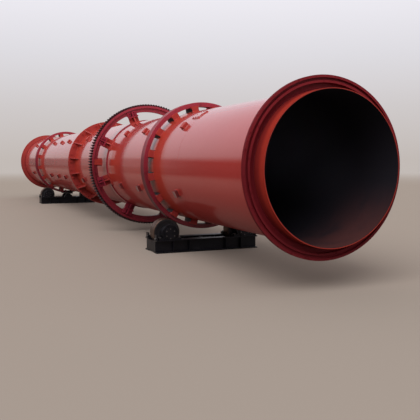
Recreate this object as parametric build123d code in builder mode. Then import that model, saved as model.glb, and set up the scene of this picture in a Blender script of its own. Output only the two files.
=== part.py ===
from build123d import *

import math
import os

# Rotary dryer: a level drum on two tyres, carried by four support rollers on two steel frames.
# The drum's axis runs along Y with the front mouth towards -Y. X is across, Z is up, and the
# ground is at Z = 0. All lengths are in millimetres and all angles in degrees.

# Clearances shared by all pieces
seat_gap = 0.3
running_gap = 0.05
rolling_gap = 0.5
thrust_gap = 5.0

# Drum shell, rolled in courses that are butted end to end
drum_length = 19860.0
shell_outer_radius = 900.0
shell_wall = 16.0
tyre_course_lead = 1225.0
gear_course_lead = 275.0

# Drum ends: a plain collar at the mouth, a flange plate, and a seal ring on a sleeve; the face of
# the seal ring has a groove between two lips
collar_wall = 11.0
collar_length = 250.0
end_flange_thickness = 20.0
end_flange_rise = 112.0
seal_ring_setback = 172.0
seal_ring_rise = 155.0
seal_plate_thickness = 14.0
seal_lip_height = 30.0
seal_outer_lip_width = 30.0
seal_inner_lip_width = 26.0
seal_sleeve_rise = 80.0
seal_sleeve_wall = 12.0

# Tyres and the pads they ride on; each tyre is placed from its own end of the drum
front_tyre_setback = 3805.0
rear_tyre_setback = 4050.0
tyre_thickness = 72.0
tyre_width = 170.0
tyre_edge_chamfer = 6.0
pad_count = 16
pad_phase = 10.5
pad_height = 69.0
pad_width = 120.0
pad_length = 280.0
pad_stop_rise = 16.0

# Girth gear, cast in two halves that are bolted at splice lugs, and the brackets that carry it;
# the tooth count follows from the stand-off
gear_setback = 6720.0
gear_module = 18.0
gear_stand_off = 324.0
gear_pressure_angle = 20.0
gear_dedendum_share = 1.25
gear_face_width = 170.0
gear_rim_depth = 63.0
gear_web_depth = 139.0
gear_web_width = 90.0
gear_tab_length = 95.0
gear_tab_width = 140.0
gear_tab_corner_radius = 35.0
gear_web_fillet_radius = 60.0
gear_splice_count = 2
gear_splice_phase = -2.5
gear_splice_width = 110.0
gear_splice_thickness = 150.0
bracket_count = 8
bracket_phase = 19.0
bracket_plate_width = 200.0
bracket_plate_thickness = 28.0
bracket_rim_gap = 20.0
bracket_bar_rise = 118.0
bracket_bar_depth = 26.0
bracket_bar_reach = 55.0
bracket_rib_thickness = 24.0
bracket_rib_reach = 110.0
bracket_rib_top_reach = 45.0
bracket_foot_width = 250.0
bracket_foot_thickness = 16.0
bracket_strap_width = 50.0
bracket_strap_height = 18.0

# Bolted joint at mid length, where the two halves of the drum meet
joint_flange_rise = 157.0
joint_flange_thickness = 25.0
gusset_count = 16
gusset_phase = 15.0
gusset_thickness = 16.0
gusset_length = 430.0
gusset_top_inset = 14.0
gusset_toe_height = 20.0

# Square bosses in rows along the shell, each at a share of the bay between two fittings, and one
# inspection cover near the front tyre
front_bay_lug_shares = (0.7438,)
gear_bay_lug_shares = (0.2758, 0.7195)
joint_bay_lug_shares = (0.8878,)
rear_tyre_bay_lug_shares = (0.2294, 0.4342, 0.6729)
rear_bay_lug_shares = (0.4863,)
lug_row_angles = (25.5, 139.8, 205.5, 319.8)
lug_width = 100.0
lug_length = 110.0
lug_rise = 55.0
cover_setback = 2700.0
cover_angle = 123.0
cover_width = 190.0
cover_length = 210.0
cover_rise = 14.0

# Support rollers, their shafts and bearing housings
roller_radius = 225.0
roller_width = 190.0
roller_edge_chamfer = 8.0
roller_angle = 31.5
roller_recess_depth = 22.0
roller_hub_radius = 90.0
roller_rim_thickness = 40.0
shaft_radius = 55.0
shaft_end_room = 2.0
bearing_centre_height = 103.0
housing_radius = 135.0
housing_length = 110.0
housing_foot_reach = 55.0
housing_foot_height = 34.0
housing_cover_radius = 98.0
housing_cover_thickness = 16.0

# Support frames
frame_height = 210.0
frame_end_room = 15.0
beam_offset = 215.0
beam_flange_width = 150.0
beam_flange_thickness = 18.0
beam_web_thickness = 14.0
stiffener_shares = (0.36, 0.67)
stiffener_thickness = 14.0
stiffener_inset = 12.0
tie_web_thickness = 14.0
tie_flange_width = 40.0
tie_flange_thickness = 12.0
anchor_hole_radius = 14.0
anchor_end_inset = 130.0
anchor_edge_inset = 34.0
adjuster_screw_reach = 22.0
adjuster_screw_radius = 14.0
adjuster_plate_thickness = 20.0
adjuster_plate_width = 100.0
adjuster_plate_height = 84.0
adjuster_end_inset = 8.0

# Thrust rollers beside the rear tyre
thrust_roller_radius = 150.0
thrust_roller_height = 70.0
thrust_roller_chamfer = 5.0
thrust_tyre_cover = 46.0
thrust_pin_radius = 35.0
thrust_pin_reach = 14.0
thrust_pedestal_width = 260.0
thrust_pedestal_depth = 100.0

# Radii round the drum axis, worked out from the sizes above
drum_bore_radius = shell_outer_radius - shell_wall
collar_outer_radius = drum_bore_radius + collar_wall
seat_radius = shell_outer_radius + seat_gap
tyre_inner_radius = shell_outer_radius + pad_height
tyre_outer_radius = tyre_inner_radius + tyre_thickness
seal_sleeve_outer_radius = shell_outer_radius + seal_sleeve_rise
seal_inner_radius = seal_sleeve_outer_radius - seal_sleeve_wall
seal_outer_radius = shell_outer_radius + seal_ring_rise
joint_flange_outer_radius = shell_outer_radius + joint_flange_rise
gear_teeth = 2 * round((shell_outer_radius + gear_stand_off) / gear_module)
gear_pitch_radius = gear_module * gear_teeth / 2
gear_tip_radius = gear_pitch_radius + gear_module
gear_root_radius = gear_pitch_radius - gear_dedendum_share * gear_module
gear_rim_inner_radius = gear_pitch_radius - gear_rim_depth
gear_web_inner_radius = gear_pitch_radius - gear_web_depth
gear_tab_inner_radius = gear_web_inner_radius - gear_tab_length

# Places along the drum and across the frames, worked out from the sizes above
shell_end = drum_length / 2 - collar_length
front_tyre_y = front_tyre_setback - drum_length / 2
rear_tyre_y = drum_length / 2 - rear_tyre_setback
gear_y = gear_setback - drum_length / 2
roller_distance = tyre_outer_radius + rolling_gap + roller_radius
roller_across = roller_distance * math.sin(math.radians(roller_angle))
roller_height = frame_height + bearing_centre_height
axis_height = roller_height + roller_distance * math.cos(math.radians(roller_angle))
housing_foot_width = 2 * (housing_radius + housing_foot_reach)
adjuster_room = adjuster_screw_reach + adjuster_plate_thickness + adjuster_end_inset
frame_reach = max(roller_radius + frame_end_room, housing_foot_width / 2 + adjuster_room)
frame_half_length = roller_across + frame_reach

os.makedirs("parts", exist_ok=True)


def write_piece(piece, label):
    """Label a finished piece and write it as the node of that name."""
    piece.label = label
    export_step(piece, f"parts/{label}.step")


def cross_plane(y, x=0, z=axis_height):
    """A plane across the drum with local x to +X and local y to +Z, facing the front."""
    return Plane(origin=(x, y, z), x_dir=(1, 0, 0), z_dir=(0, -1, 0))


def radial_plane(angle, across=0):
    """A plane through the drum axis: local x along +Y, local y outwards at the angle."""
    turn = math.radians(angle)
    outward = Vector(math.cos(turn), 0, math.sin(turn))
    along = Vector(0, 1, 0)
    normal = along.cross(outward)
    origin = Vector(0, 0, axis_height) + normal * across
    return Plane(origin=origin, x_dir=along, z_dir=normal)


def polar_angles(count, phase):
    """Evenly spaced angles from the phase, from +X towards +Z as seen from the front."""
    return [phase + number * 360 / count for number in range(count)]


def add_ring(one_face, other_face, inner_radius, outer_radius):
    """A plain ring round the drum axis between two faces, given as places along Y."""
    with BuildSketch(cross_plane(min(one_face, other_face))) as profile:
        Circle(outer_radius)
        Circle(inner_radius, mode=Mode.SUBTRACT)
    extrude(profile.sketch, amount=-abs(other_face - one_face))


def add_blocks(y_front, length, inner_radius, outer_radius, width, count, phase):
    """Blocks of one width round the drum axis, curved to fit between two radii."""
    with BuildSketch(cross_plane(y_front)) as profile:
        with PolarLocations((inner_radius + outer_radius) / 2, count, start_angle=phase):
            Rectangle(2 * (outer_radius - inner_radius), width)
        Circle(outer_radius, mode=Mode.INTERSECT)
        Circle(inner_radius, mode=Mode.SUBTRACT)
    extrude(profile.sketch, amount=-length)


# Shell courses, from the front to the rear; two of them meet at the mid-length joint
shell_courses = {
    "shell_front_course": (-shell_end, front_tyre_y - tyre_course_lead),
    "shell_front_tyre_course": (front_tyre_y - tyre_course_lead, gear_y - gear_course_lead),
    "shell_gear_course": (gear_y - gear_course_lead, 0),
    "shell_middle_course": (0, rear_tyre_y / 2),
    "shell_rear_tyre_course": (rear_tyre_y / 2, rear_tyre_y + tyre_course_lead),
    "shell_rear_course": (rear_tyre_y + tyre_course_lead, shell_end),
}
for course_name, (course_start, course_end) in shell_courses.items():
    with BuildPart() as shell_course:
        add_ring(course_start, course_end, drum_bore_radius, shell_outer_radius)
    write_piece(shell_course.part, course_name)

# The two drum ends: the rear one mirrors the front one
for end_name, facing in (("front", -1), ("rear", 1)):
    mouth = facing * drum_length / 2
    collar_end = mouth - facing * collar_length
    flange_face = collar_end + facing * end_flange_thickness
    seal_face = mouth - facing * seal_ring_setback
    lip_back = seal_face - facing * seal_lip_height
    seal_back = lip_back - facing * seal_plate_thickness
    with BuildPart() as collar:
        add_ring(mouth, collar_end, drum_bore_radius, collar_outer_radius)
    write_piece(collar.part, f"{end_name}_collar")
    with BuildPart() as end_flange:
        flange_outer_radius = shell_outer_radius + end_flange_rise
        add_ring(collar_end, flange_face, collar_outer_radius + seat_gap, flange_outer_radius)
    write_piece(end_flange.part, f"{end_name}_end_flange")
    with BuildPart() as seal_ring:
        add_ring(seal_back, flange_face, seal_inner_radius, seal_sleeve_outer_radius)
        add_ring(lip_back, seal_back, seal_inner_radius, seal_outer_radius)
        add_ring(seal_face, lip_back, seal_inner_radius, seal_inner_radius + seal_inner_lip_width)
        add_ring(seal_face, lip_back, seal_outer_radius - seal_outer_lip_width, seal_outer_radius)
    write_piece(seal_ring.part, f"{end_name}_seal_ring")

# Tyres, with the pads and end stops welded to the shell under them
for tyre_name, tyre_y in (("front", front_tyre_y), ("rear", rear_tyre_y)):
    with BuildPart() as tyre:
        tyre_front = tyre_y - tyre_width / 2
        add_ring(tyre_front, tyre_front + tyre_width, tyre_inner_radius, tyre_outer_radius)
        rolling_edges = tyre.edges().filter_by(GeomType.CIRCLE).group_by(SortBy.RADIUS)[-1]
        chamfer(rolling_edges, tyre_edge_chamfer)
    write_piece(tyre.part, f"{tyre_name}_tyre")
    with BuildPart() as tyre_pads:
        pad_front = tyre_y - pad_length / 2
        pad_top = tyre_inner_radius - seat_gap
        stop_top = tyre_inner_radius + pad_stop_rise
        stop_length = (pad_length - tyre_width) / 2 - rolling_gap
        add_blocks(pad_front, pad_length, seat_radius, pad_top, pad_width, pad_count, pad_phase)
        for stop_front in (pad_front, pad_front + pad_length - stop_length):
            add_blocks(
                stop_front, stop_length, seat_radius, stop_top, pad_width, pad_count, pad_phase
            )
    write_piece(tyre_pads.part, f"{tyre_name}_tyre_pads")

# Girth gear: straight-flanked teeth, a thinner web inside the rim, rounded tabs on the web where
# the brackets are, and lugs where the two halves meet
flank_slope = math.tan(math.radians(gear_pressure_angle))
pitch_half_width = math.pi * gear_module / 4
tip_half_width = pitch_half_width - gear_module * flank_slope
root_half_width = pitch_half_width + gear_dedendum_share * gear_module * flank_slope
tooth_corners = (
    (gear_root_radius, -root_half_width),
    (gear_tip_radius, -tip_half_width),
    (gear_tip_radius, tip_half_width),
    (gear_root_radius, root_half_width),
)
tooth_outline = []
for tooth_angle in polar_angles(gear_teeth, 0):
    for corner_radius, corner_width in tooth_corners:
        corner_turn = math.radians(tooth_angle) + corner_width / corner_radius
        corner = (corner_radius * math.cos(corner_turn), corner_radius * math.sin(corner_turn))
        tooth_outline.append(corner)
tab_side = gear_tab_width / 2
flare_side = tab_side + gear_web_fillet_radius + rolling_gap
flare_radius = math.sqrt(gear_web_inner_radius**2 - flare_side**2)
flare_toe = flare_radius - gear_web_fillet_radius - rolling_gap
with BuildSketch() as tab_flare:
    with BuildLine():
        Polyline(
            (gear_rim_inner_radius, -flare_side),
            (flare_radius, -flare_side),
            (flare_radius, -tab_side),
            (flare_toe, -tab_side),
            (flare_toe, tab_side),
            (flare_radius, tab_side),
            (flare_radius, flare_side),
            (gear_rim_inner_radius, flare_side),
            close=True,
        )
    make_face()
    flare_corners = tab_flare.vertices().group_by(Axis.X)[1]
    fillet(flare_corners.sort_by(lambda corner: abs(corner.Y))[:2], gear_web_fillet_radius)
with BuildPart() as girth_gear:
    with BuildSketch(cross_plane(gear_y - gear_face_width / 2)):
        with BuildLine():
            Polyline(*tooth_outline, close=True)
        make_face()
        Circle(gear_rim_inner_radius, mode=Mode.SUBTRACT)
    extrude(amount=-gear_face_width)
    rim_middle_radius = (gear_rim_inner_radius + gear_root_radius) / 2
    with BuildSketch(cross_plane(gear_y - gear_web_width / 2)):
        Circle(rim_middle_radius)
        Circle(gear_web_inner_radius, mode=Mode.SUBTRACT)
        with PolarLocations(0, bracket_count, start_angle=bracket_phase):
            add(tab_flare.sketch)
        tab_reach = gear_rim_inner_radius - gear_tab_inner_radius
        tab_middle = (gear_rim_inner_radius + gear_tab_inner_radius) / 2
        with PolarLocations(tab_middle, bracket_count, start_angle=bracket_phase):
            RectangleRounded(tab_reach, gear_tab_width, gear_tab_corner_radius)
    extrude(amount=-gear_web_width)
    add_blocks(
        gear_y - gear_splice_thickness / 2,
        gear_splice_thickness,
        gear_tab_inner_radius,
        rim_middle_radius,
        gear_splice_width,
        gear_splice_count,
        gear_splice_phase,
    )
write_piece(girth_gear.part, "girth_gear")

# Gear brackets: plates that stand on a strap round the shell and are bolted to the gear tabs, each
# with a rib up its middle, a bar across it and a foot
plate_back = gear_y - gear_web_width / 2
plate_front = plate_back - bracket_plate_thickness
plate_top = gear_rim_inner_radius - bracket_rim_gap
foot_front = plate_front - bracket_rib_reach
bar_bottom = seat_radius + bracket_bar_rise
bracket_blocks = (
    (plate_front, seat_radius, plate_top, bracket_plate_width),
    (plate_front - bracket_bar_reach, bar_bottom, bar_bottom + bracket_bar_depth, bracket_plate_width),
    (foot_front, seat_radius, seat_radius + bracket_foot_thickness, bracket_foot_width),
)
with BuildPart() as gear_brackets:
    strap_front = plate_back - bracket_strap_width
    add_ring(strap_front, plate_back, seat_radius, seat_radius + bracket_strap_height)
    for block_front, block_bottom, block_top, block_width in bracket_blocks:
        add_blocks(
            block_front,
            plate_back - block_front,
            block_bottom,
            block_top,
            block_width,
            bracket_count,
            bracket_phase,
        )
    for bracket_angle in polar_angles(bracket_count, bracket_phase):
        with BuildSketch(radial_plane(bracket_angle)):
            with BuildLine():
                Polyline(
                    (plate_back, seat_radius),
                    (plate_back, plate_top),
                    (plate_front - bracket_rib_top_reach, plate_top),
                    (plate_front - bracket_rib_top_reach, bar_bottom),
                    (foot_front, seat_radius + bracket_foot_thickness),
                    (foot_front, seat_radius),
                    close=True,
                )
            make_face()
        extrude(amount=bracket_rib_thickness / 2, both=True)
write_piece(gear_brackets.part, "gear_brackets")

# Mid-length joint: two flanges face to face, each with gussets on its own side
for half_name, facing in (("front", -1), ("rear", 1)):
    flange_back = facing * joint_flange_thickness
    with BuildPart() as joint_flange:
        add_ring(0, flange_back, seat_radius, joint_flange_outer_radius)
    write_piece(joint_flange.part, f"{half_name}_joint_flange")
    with BuildPart() as joint_gussets:
        gusset_end = flange_back + facing * gusset_length
        gusset_top = joint_flange_outer_radius - gusset_top_inset
        for gusset_angle in polar_angles(gusset_count, gusset_phase):
            with BuildSketch(radial_plane(gusset_angle)):
                with BuildLine():
                    Polyline(
                        (flange_back, seat_radius),
                        (flange_back, gusset_top),
                        (gusset_end, seat_radius + gusset_toe_height),
                        (gusset_end, seat_radius),
                        close=True,
                    )
                make_face()
            extrude(amount=gusset_thickness / 2, both=True)
    write_piece(joint_gussets.part, f"{half_name}_joint_gussets")

# Square bosses on the shell, in the free bays between the ends, the tyres, the gear and the joint
pad_reach = pad_length / 2
joint_reach = joint_flange_thickness + gusset_length
shell_bays = (
    (-shell_end, front_tyre_y - pad_reach, front_bay_lug_shares),
    (front_tyre_y + pad_reach, foot_front, gear_bay_lug_shares),
    (gear_y + gear_face_width / 2, -joint_reach, joint_bay_lug_shares),
    (joint_reach, rear_tyre_y - pad_reach, rear_tyre_bay_lug_shares),
    (rear_tyre_y + pad_reach, shell_end, rear_bay_lug_shares),
)
with BuildPart() as shell_lugs:
    for bay_start, bay_end, lug_shares in shell_bays:
        for lug_share in lug_shares:
            lug_front = bay_start + lug_share * (bay_end - bay_start) - lug_length / 2
            lug_top = seat_radius + lug_rise
            for lug_angle in lug_row_angles:
                add_blocks(lug_front, lug_length, seat_radius, lug_top, lug_width, 1, lug_angle)
write_piece(shell_lugs.part, "shell_lugs")

# Inspection cover
with BuildPart() as inspection_cover:
    add_blocks(
        cover_setback - drum_length / 2 - cover_length / 2,
        cover_length,
        seat_radius,
        seat_radius + cover_rise,
        cover_width,
        1,
        cover_angle,
    )
write_piece(inspection_cover.part, "inspection_cover")


def add_beam(beam_y, anchor_side):
    """An I-beam along X with web stiffeners, and anchor holes in its outer bottom flange."""
    clear_height = frame_height - 2 * beam_flange_thickness
    with BuildSketch(Plane.YZ.offset(-frame_half_length)) as profile:
        with Locations((beam_y, frame_height / 2)):
            Rectangle(beam_flange_width, frame_height)
        with Locations((beam_y, frame_height / 2)):
            Rectangle(beam_flange_width, clear_height, mode=Mode.SUBTRACT)
            Rectangle(beam_web_thickness, clear_height)
    extrude(profile.sketch, amount=2 * frame_half_length)
    for share in stiffener_shares:
        for side in (-1, 1):
            stiffener_start = side * share * frame_half_length - stiffener_thickness / 2
            with BuildSketch(Plane.YZ.offset(stiffener_start)) as profile:
                with Locations((beam_y, frame_height / 2)):
                    Rectangle(beam_flange_width - 2 * stiffener_inset, clear_height)
            extrude(profile.sketch, amount=stiffener_thickness)
    anchor_across = frame_half_length - anchor_end_inset
    anchor_y = beam_y + anchor_side * (beam_flange_width / 2 - anchor_edge_inset)
    with BuildSketch(Plane.XY) as profile:
        with Locations((-anchor_across, anchor_y), (anchor_across, anchor_y)):
            Circle(anchor_hole_radius)
    extrude(profile.sketch, amount=beam_flange_thickness, mode=Mode.SUBTRACT)


def add_tie(tie_x, middle_y):
    """A channel between the webs of the two beams."""
    tie_height = frame_height - 2 * beam_flange_thickness - 2 * seat_gap
    tie_length = 2 * beam_offset - beam_web_thickness
    with BuildSketch(cross_plane(middle_y - tie_length / 2, tie_x, frame_height / 2)) as profile:
        Rectangle(tie_flange_width, tie_height)
        with Locations((tie_web_thickness, 0)):
            Rectangle(tie_flange_width, tie_height - 2 * tie_flange_thickness, mode=Mode.SUBTRACT)
    extrude(profile.sketch, amount=-tie_length)


def add_housing(roller_x, housing_y, outer_side):
    """A round-topped bearing housing on a flat foot, bored for the shaft, with a closed cover."""
    housing_front = housing_y - housing_length / 2
    with BuildSketch(cross_plane(housing_front, roller_x, roller_height)) as profile:
        Circle(housing_radius)
        with Locations((0, -bearing_centre_height)):
            Rectangle(
                2 * housing_radius,
                bearing_centre_height + housing_radius,
                align=(Align.CENTER, Align.MIN),
                mode=Mode.INTERSECT,
            )
            Rectangle(
                housing_foot_width, housing_foot_height, align=(Align.CENTER, Align.MIN)
            )
        Circle(shaft_radius + running_gap, mode=Mode.SUBTRACT)
    extrude(profile.sketch, amount=-housing_length)
    cover_face = housing_y + outer_side * housing_length / 2
    with BuildSketch(cross_plane(cover_face, roller_x, roller_height)) as profile:
        Circle(housing_cover_radius)
    extrude(profile.sketch, amount=-outer_side * housing_cover_thickness)


def add_adjuster(side, housing_y):
    """An upright plate at the end of a beam with a screw that bears on the housing foot."""
    plate_x = side * (frame_half_length - adjuster_end_inset - adjuster_plate_thickness / 2)
    foot_end = side * (roller_across + housing_foot_width / 2)
    screw_height = frame_height + housing_foot_height / 2
    with BuildSketch(Plane.XY.offset(frame_height)) as profile:
        with Locations((plate_x, housing_y)):
            Rectangle(adjuster_plate_thickness, adjuster_plate_width)
    extrude(profile.sketch, amount=adjuster_plate_height)
    screw_plane = Plane(
        origin=(foot_end, housing_y, screw_height), x_dir=(0, 1, 0), z_dir=(side, 0, 0)
    )
    with BuildSketch(screw_plane) as profile:
        Circle(adjuster_screw_radius)
    extrude(profile.sketch, amount=abs(plate_x - foot_end))


# Support frames, each with two beams, ties, four bearing housings and four adjusters
for frame_name, tyre_y in (("front", front_tyre_y), ("rear", rear_tyre_y)):
    for beam_name, beam_side in (("front", -1), ("rear", 1)):
        with BuildPart() as frame_beam:
            add_beam(tyre_y + beam_side * beam_offset, beam_side)
        write_piece(frame_beam.part, f"{frame_name}_frame_{beam_name}_beam")
    with BuildPart() as frame_ties:
        for side in (-1, 0, 1):
            add_tie(side * (frame_half_length - tie_flange_width / 2), tyre_y)
    write_piece(frame_ties.part, f"{frame_name}_frame_ties")
    with BuildPart() as bearing_housings:
        for roller_side in (-1, 1):
            for beam_side in (-1, 1):
                housing_y = tyre_y + beam_side * beam_offset
                add_housing(roller_side * roller_across, housing_y, beam_side)
    write_piece(bearing_housings.part, f"{frame_name}_bearing_housings")
    with BuildPart() as adjusters:
        for roller_side in (-1, 1):
            for beam_side in (-1, 1):
                add_adjuster(roller_side, tyre_y + beam_side * beam_offset)
    write_piece(adjusters.part, f"{frame_name}_adjusters")

    # Support rollers on their shafts
    for side_name, roller_side in (("left", -1), ("right", 1)):
        roller_x = roller_side * roller_across
        with BuildPart() as roller:
            with BuildSketch(cross_plane(tyre_y - roller_width / 2, roller_x, roller_height)):
                Circle(roller_radius)
                Circle(shaft_radius + running_gap, mode=Mode.SUBTRACT)
            extrude(amount=-roller_width)
            tread_edges = roller.edges().filter_by(GeomType.CIRCLE).group_by(SortBy.RADIUS)[-1]
            chamfer(tread_edges, roller_edge_chamfer)
            recess_back = tyre_y + roller_width / 2 - roller_recess_depth
            for recess_front in (tyre_y - roller_width / 2, recess_back):
                with BuildSketch(cross_plane(recess_front, roller_x, roller_height)):
                    Circle(roller_radius - roller_rim_thickness)
                    Circle(roller_hub_radius, mode=Mode.SUBTRACT)
                extrude(amount=-roller_recess_depth, mode=Mode.SUBTRACT)
        write_piece(roller.part, f"{frame_name}_{side_name}_roller")
        with BuildPart() as shaft:
            shaft_half = beam_offset + housing_length / 2 - shaft_end_room
            with BuildSketch(cross_plane(tyre_y - shaft_half, roller_x, roller_height)):
                Circle(shaft_radius)
            extrude(amount=-2 * shaft_half)
        write_piece(shaft.part, f"{frame_name}_{side_name}_roller_shaft")

# Thrust rollers, one against each face of the rear tyre, on pins that stand on half-round pedestals
thrust_top = axis_height - tyre_outer_radius + thrust_tyre_cover
thrust_bottom = thrust_top - thrust_roller_height
thrust_offset = tyre_width / 2 + thrust_gap + thrust_roller_radius
with BuildPart() as thrust_pedestals:
    for facing in (-1, 1):
        pedestal_y = rear_tyre_y + facing * thrust_offset
        pedestal_front = pedestal_y - thrust_pedestal_depth / 2
        with BuildSketch(cross_plane(pedestal_front, 0, frame_height)):
            with Locations((0, 0)):
                Ellipse(thrust_pedestal_width / 2, thrust_bottom - seat_gap - frame_height)
                Rectangle(
                    thrust_pedestal_width,
                    thrust_bottom,
                    align=(Align.CENTER, Align.MIN),
                    mode=Mode.INTERSECT,
                )
        extrude(amount=-thrust_pedestal_depth)
        with BuildSketch(Plane.XY.offset(frame_height)):
            with Locations((0, pedestal_y)):
                Circle(thrust_pin_radius)
        extrude(amount=thrust_top + thrust_pin_reach - frame_height)
write_piece(thrust_pedestals.part, "thrust_pedestals")

for thrust_name, facing in (("front", -1), ("rear", 1)):
    with BuildPart() as thrust_roller:
        with BuildSketch(Plane.XY.offset(thrust_bottom)):
            with Locations((0, rear_tyre_y + facing * thrust_offset)):
                Circle(thrust_roller_radius)
                Circle(thrust_pin_radius + running_gap, mode=Mode.SUBTRACT)
        extrude(amount=thrust_roller_height)
        rim_edges = thrust_roller.edges().filter_by(GeomType.CIRCLE).group_by(SortBy.RADIUS)[-1]
        chamfer(rim_edges, thrust_roller_chamfer)
    write_piece(thrust_roller.part, f"{thrust_name}_thrust_roller")
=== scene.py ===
# %% [markdown]
# # A rotary dryer on two roller frames
# A rotary dryer is a long steel drum that lies on rollers and turns slowly while wet material
# tumbles through it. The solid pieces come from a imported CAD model. This lesson gives them their
# paint and steel, and adds the small things a fitter would see: weld beads, bolts and nuts.
# The CAD model could be copied and edited here, but then its sizes would drift, so it is loaded as
# a fixed frame and everything new is placed from it.

# %% Load the frame
import math

import bmesh
import bpy
import numpy as np
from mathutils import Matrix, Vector


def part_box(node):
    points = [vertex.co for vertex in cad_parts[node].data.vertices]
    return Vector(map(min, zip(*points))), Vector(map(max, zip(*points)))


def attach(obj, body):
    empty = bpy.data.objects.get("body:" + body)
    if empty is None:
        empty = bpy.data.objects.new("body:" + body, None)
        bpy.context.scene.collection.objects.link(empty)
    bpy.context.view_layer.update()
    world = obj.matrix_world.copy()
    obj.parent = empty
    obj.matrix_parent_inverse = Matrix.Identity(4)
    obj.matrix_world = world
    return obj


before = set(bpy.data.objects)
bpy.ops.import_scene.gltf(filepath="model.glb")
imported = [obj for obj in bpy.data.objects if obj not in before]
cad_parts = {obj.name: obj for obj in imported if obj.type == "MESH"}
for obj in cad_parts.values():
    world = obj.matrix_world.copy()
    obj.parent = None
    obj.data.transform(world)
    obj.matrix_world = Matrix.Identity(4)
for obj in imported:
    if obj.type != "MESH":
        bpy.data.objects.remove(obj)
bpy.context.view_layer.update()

# %% [markdown]
# ## Where things are
# Every later step needs the drum's axis, its radii and the places of tyres, gear and joint. They
# could be typed in again, but reading them from the CAD nodes keeps both models together.

# %% Read the main sizes
def middle(node, axis):
    """Halfway between the lowest and highest corner of a CAD node, along one axis."""
    low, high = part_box(node)
    return (low[axis] + high[axis]) / 2


def reach(node):
    """The outer radius of a round CAD node on the drum axis: half its width across."""
    low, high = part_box(node)
    return (high.x - low.x) / 2


X, Y, Z = range(3)
axis_height = middle("front_tyre", Z)
shell_radius = reach("shell_front_course")
tyre_radius = reach("front_tyre")
gear_radius = reach("girth_gear")
collar_radius = reach("front_collar")
tyre_stations = {"front": middle("front_tyre", Y), "rear": middle("rear_tyre", Y)}
gear_station = middle("girth_gear", Y)
mouth_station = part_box("front_collar")[0].y
seam_stations = [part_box(f"shell_{course}_course")[1].y
                 for course in ("front", "front_tyre", "middle", "rear_tyre")]
print("axis at", round(axis_height, 4), "shell radius", round(shell_radius, 4))

# %% [markdown]
# ## Shader arithmetic
# A finish is worked out at every point of a surface by a tree of nodes. Wiring them by hand gives
# long code, so one small class holds a node's output and lets Python's own operators add the Math
# nodes: `1 - mask` is then a real node. Every other kind of node comes from its one method.

# %% A wire that can be calculated with
class Wire:
    """One output of a shader node. Arithmetic on it adds Math nodes to the same tree."""

    def __init__(self, tree, socket=None):
        self.tree = tree
        self.socket = socket

    def node(self, kind, settings=None, inputs=None, out=0):
        """Add a node: its settings first, then a value or a link for each socket named."""
        made = self.tree.nodes.new(kind)
        for name, value in (settings or {}).items():
            if name == "stops":
                while len(made.color_ramp.elements) < len(value):
                    made.color_ramp.elements.new(1.0)
                for element, (position, colour) in zip(made.color_ramp.elements, value):
                    element.position = position
                    element.color = colour
            else:
                setattr(made, name, value)
        for name, value in (inputs or {}).items():
            if isinstance(value, Wire):
                self.tree.links.new(value.socket, made.inputs[name])
            else:
                made.inputs[name].default_value = value
        return Wire(self.tree, made.outputs[out] if made.outputs else None)

    def beside(self, name):
        """Another output of the node that this wire comes from."""
        return Wire(self.tree, self.socket.node.outputs[name])

    def maths(self, operation, *values):
        """A Math node on this wire and any further values."""
        return self.node("ShaderNodeMath", {"operation": operation},
                         dict(enumerate((self, *values))))

    def __add__(self, value):
        return self.maths("ADD", value)

    def __sub__(self, value):
        return self.maths("SUBTRACT", value)

    def __rsub__(self, value):
        return self.node("ShaderNodeMath", {"operation": "SUBTRACT"}, {0: value, 1: self})

    def __mul__(self, value):
        return self.maths("MULTIPLY", value)

    def __pow__(self, value):
        return self.maths("POWER", value)

    # Sums and products work from both sides
    __radd__, __rmul__ = __add__, __mul__

    def step(self, low, high):
        """A smooth rise from 0 where the wire is below low to 1 where it is above high."""
        return self.node("ShaderNodeMapRange", {"interpolation_type": "SMOOTHSTEP"},
                         {"Value": self, "From Min": low, "From Max": high})

    def edge(self, at, half):
        """A smooth rise from 0 to 1 across one value, from half before it to half after it."""
        return self.step(at - half, at + half)

    def within(self, low, high, half):
        """1 between low and high, with a smooth edge on both sides."""
        return self.edge(low, half) * (1 - self.edge(high, half))

    def either(self, other):
        """The larger of two masks."""
        return self.maths("MAXIMUM", other)

    def tint(self, first, second):
        """Mix two colours: the first where this mask is 0, the second where it is 1."""
        return self.node("ShaderNodeMix", {"data_type": "RGBA"},
                         {0: self, 6: first, 7: second}, out=2)

    def darken(self, colour, share):
        """Multiply a colour by a darker one, by as much as this mask says."""
        return self.node("ShaderNodeMix", {"data_type": "RGBA", "blend_type": "MULTIPLY"},
                         {0: self, 6: colour, 7: share}, out=2)

    def noise(self, scale, detail=3.0):
        """Soft random clouds from 0 to 1; scale is the number of clouds in a metre."""
        return self.node("ShaderNodeTexNoise", None,
                         {"Vector": self, "Scale": scale, "Detail": detail})

    def part(self, axis):
        """One coordinate of a wire that carries a vector."""
        return self.node("ShaderNodeSeparateXYZ", None, {0: self}, out=axis)

    def blend(self, first, second):
        """Mix two shaders: the first where this mask is 0, the second where it is 1."""
        return self.node("ShaderNodeMixShader", None, {0: self, 1: first, 2: second})


def screen(red, green, blue):
    """The linear colour, with alpha, of an 8-bit screen colour."""
    shares = np.array([red, green, blue]) / 255
    linear = np.where(shares <= 0.04045, shares / 12.92, ((shares + 0.055) / 1.055) ** 2.4)
    return (*linear.tolist(), 1.0)


print("white is", screen(255, 255, 255))

# %% [markdown]
# ## The viewpoint
# The camera stands low in front of the open mouth and looks along the drum. A wider lens nearer
# by would also fill the frame, but the mouth would swell and the far end shrink, so the distance
# was fitted first and the lens follows from it.

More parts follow.
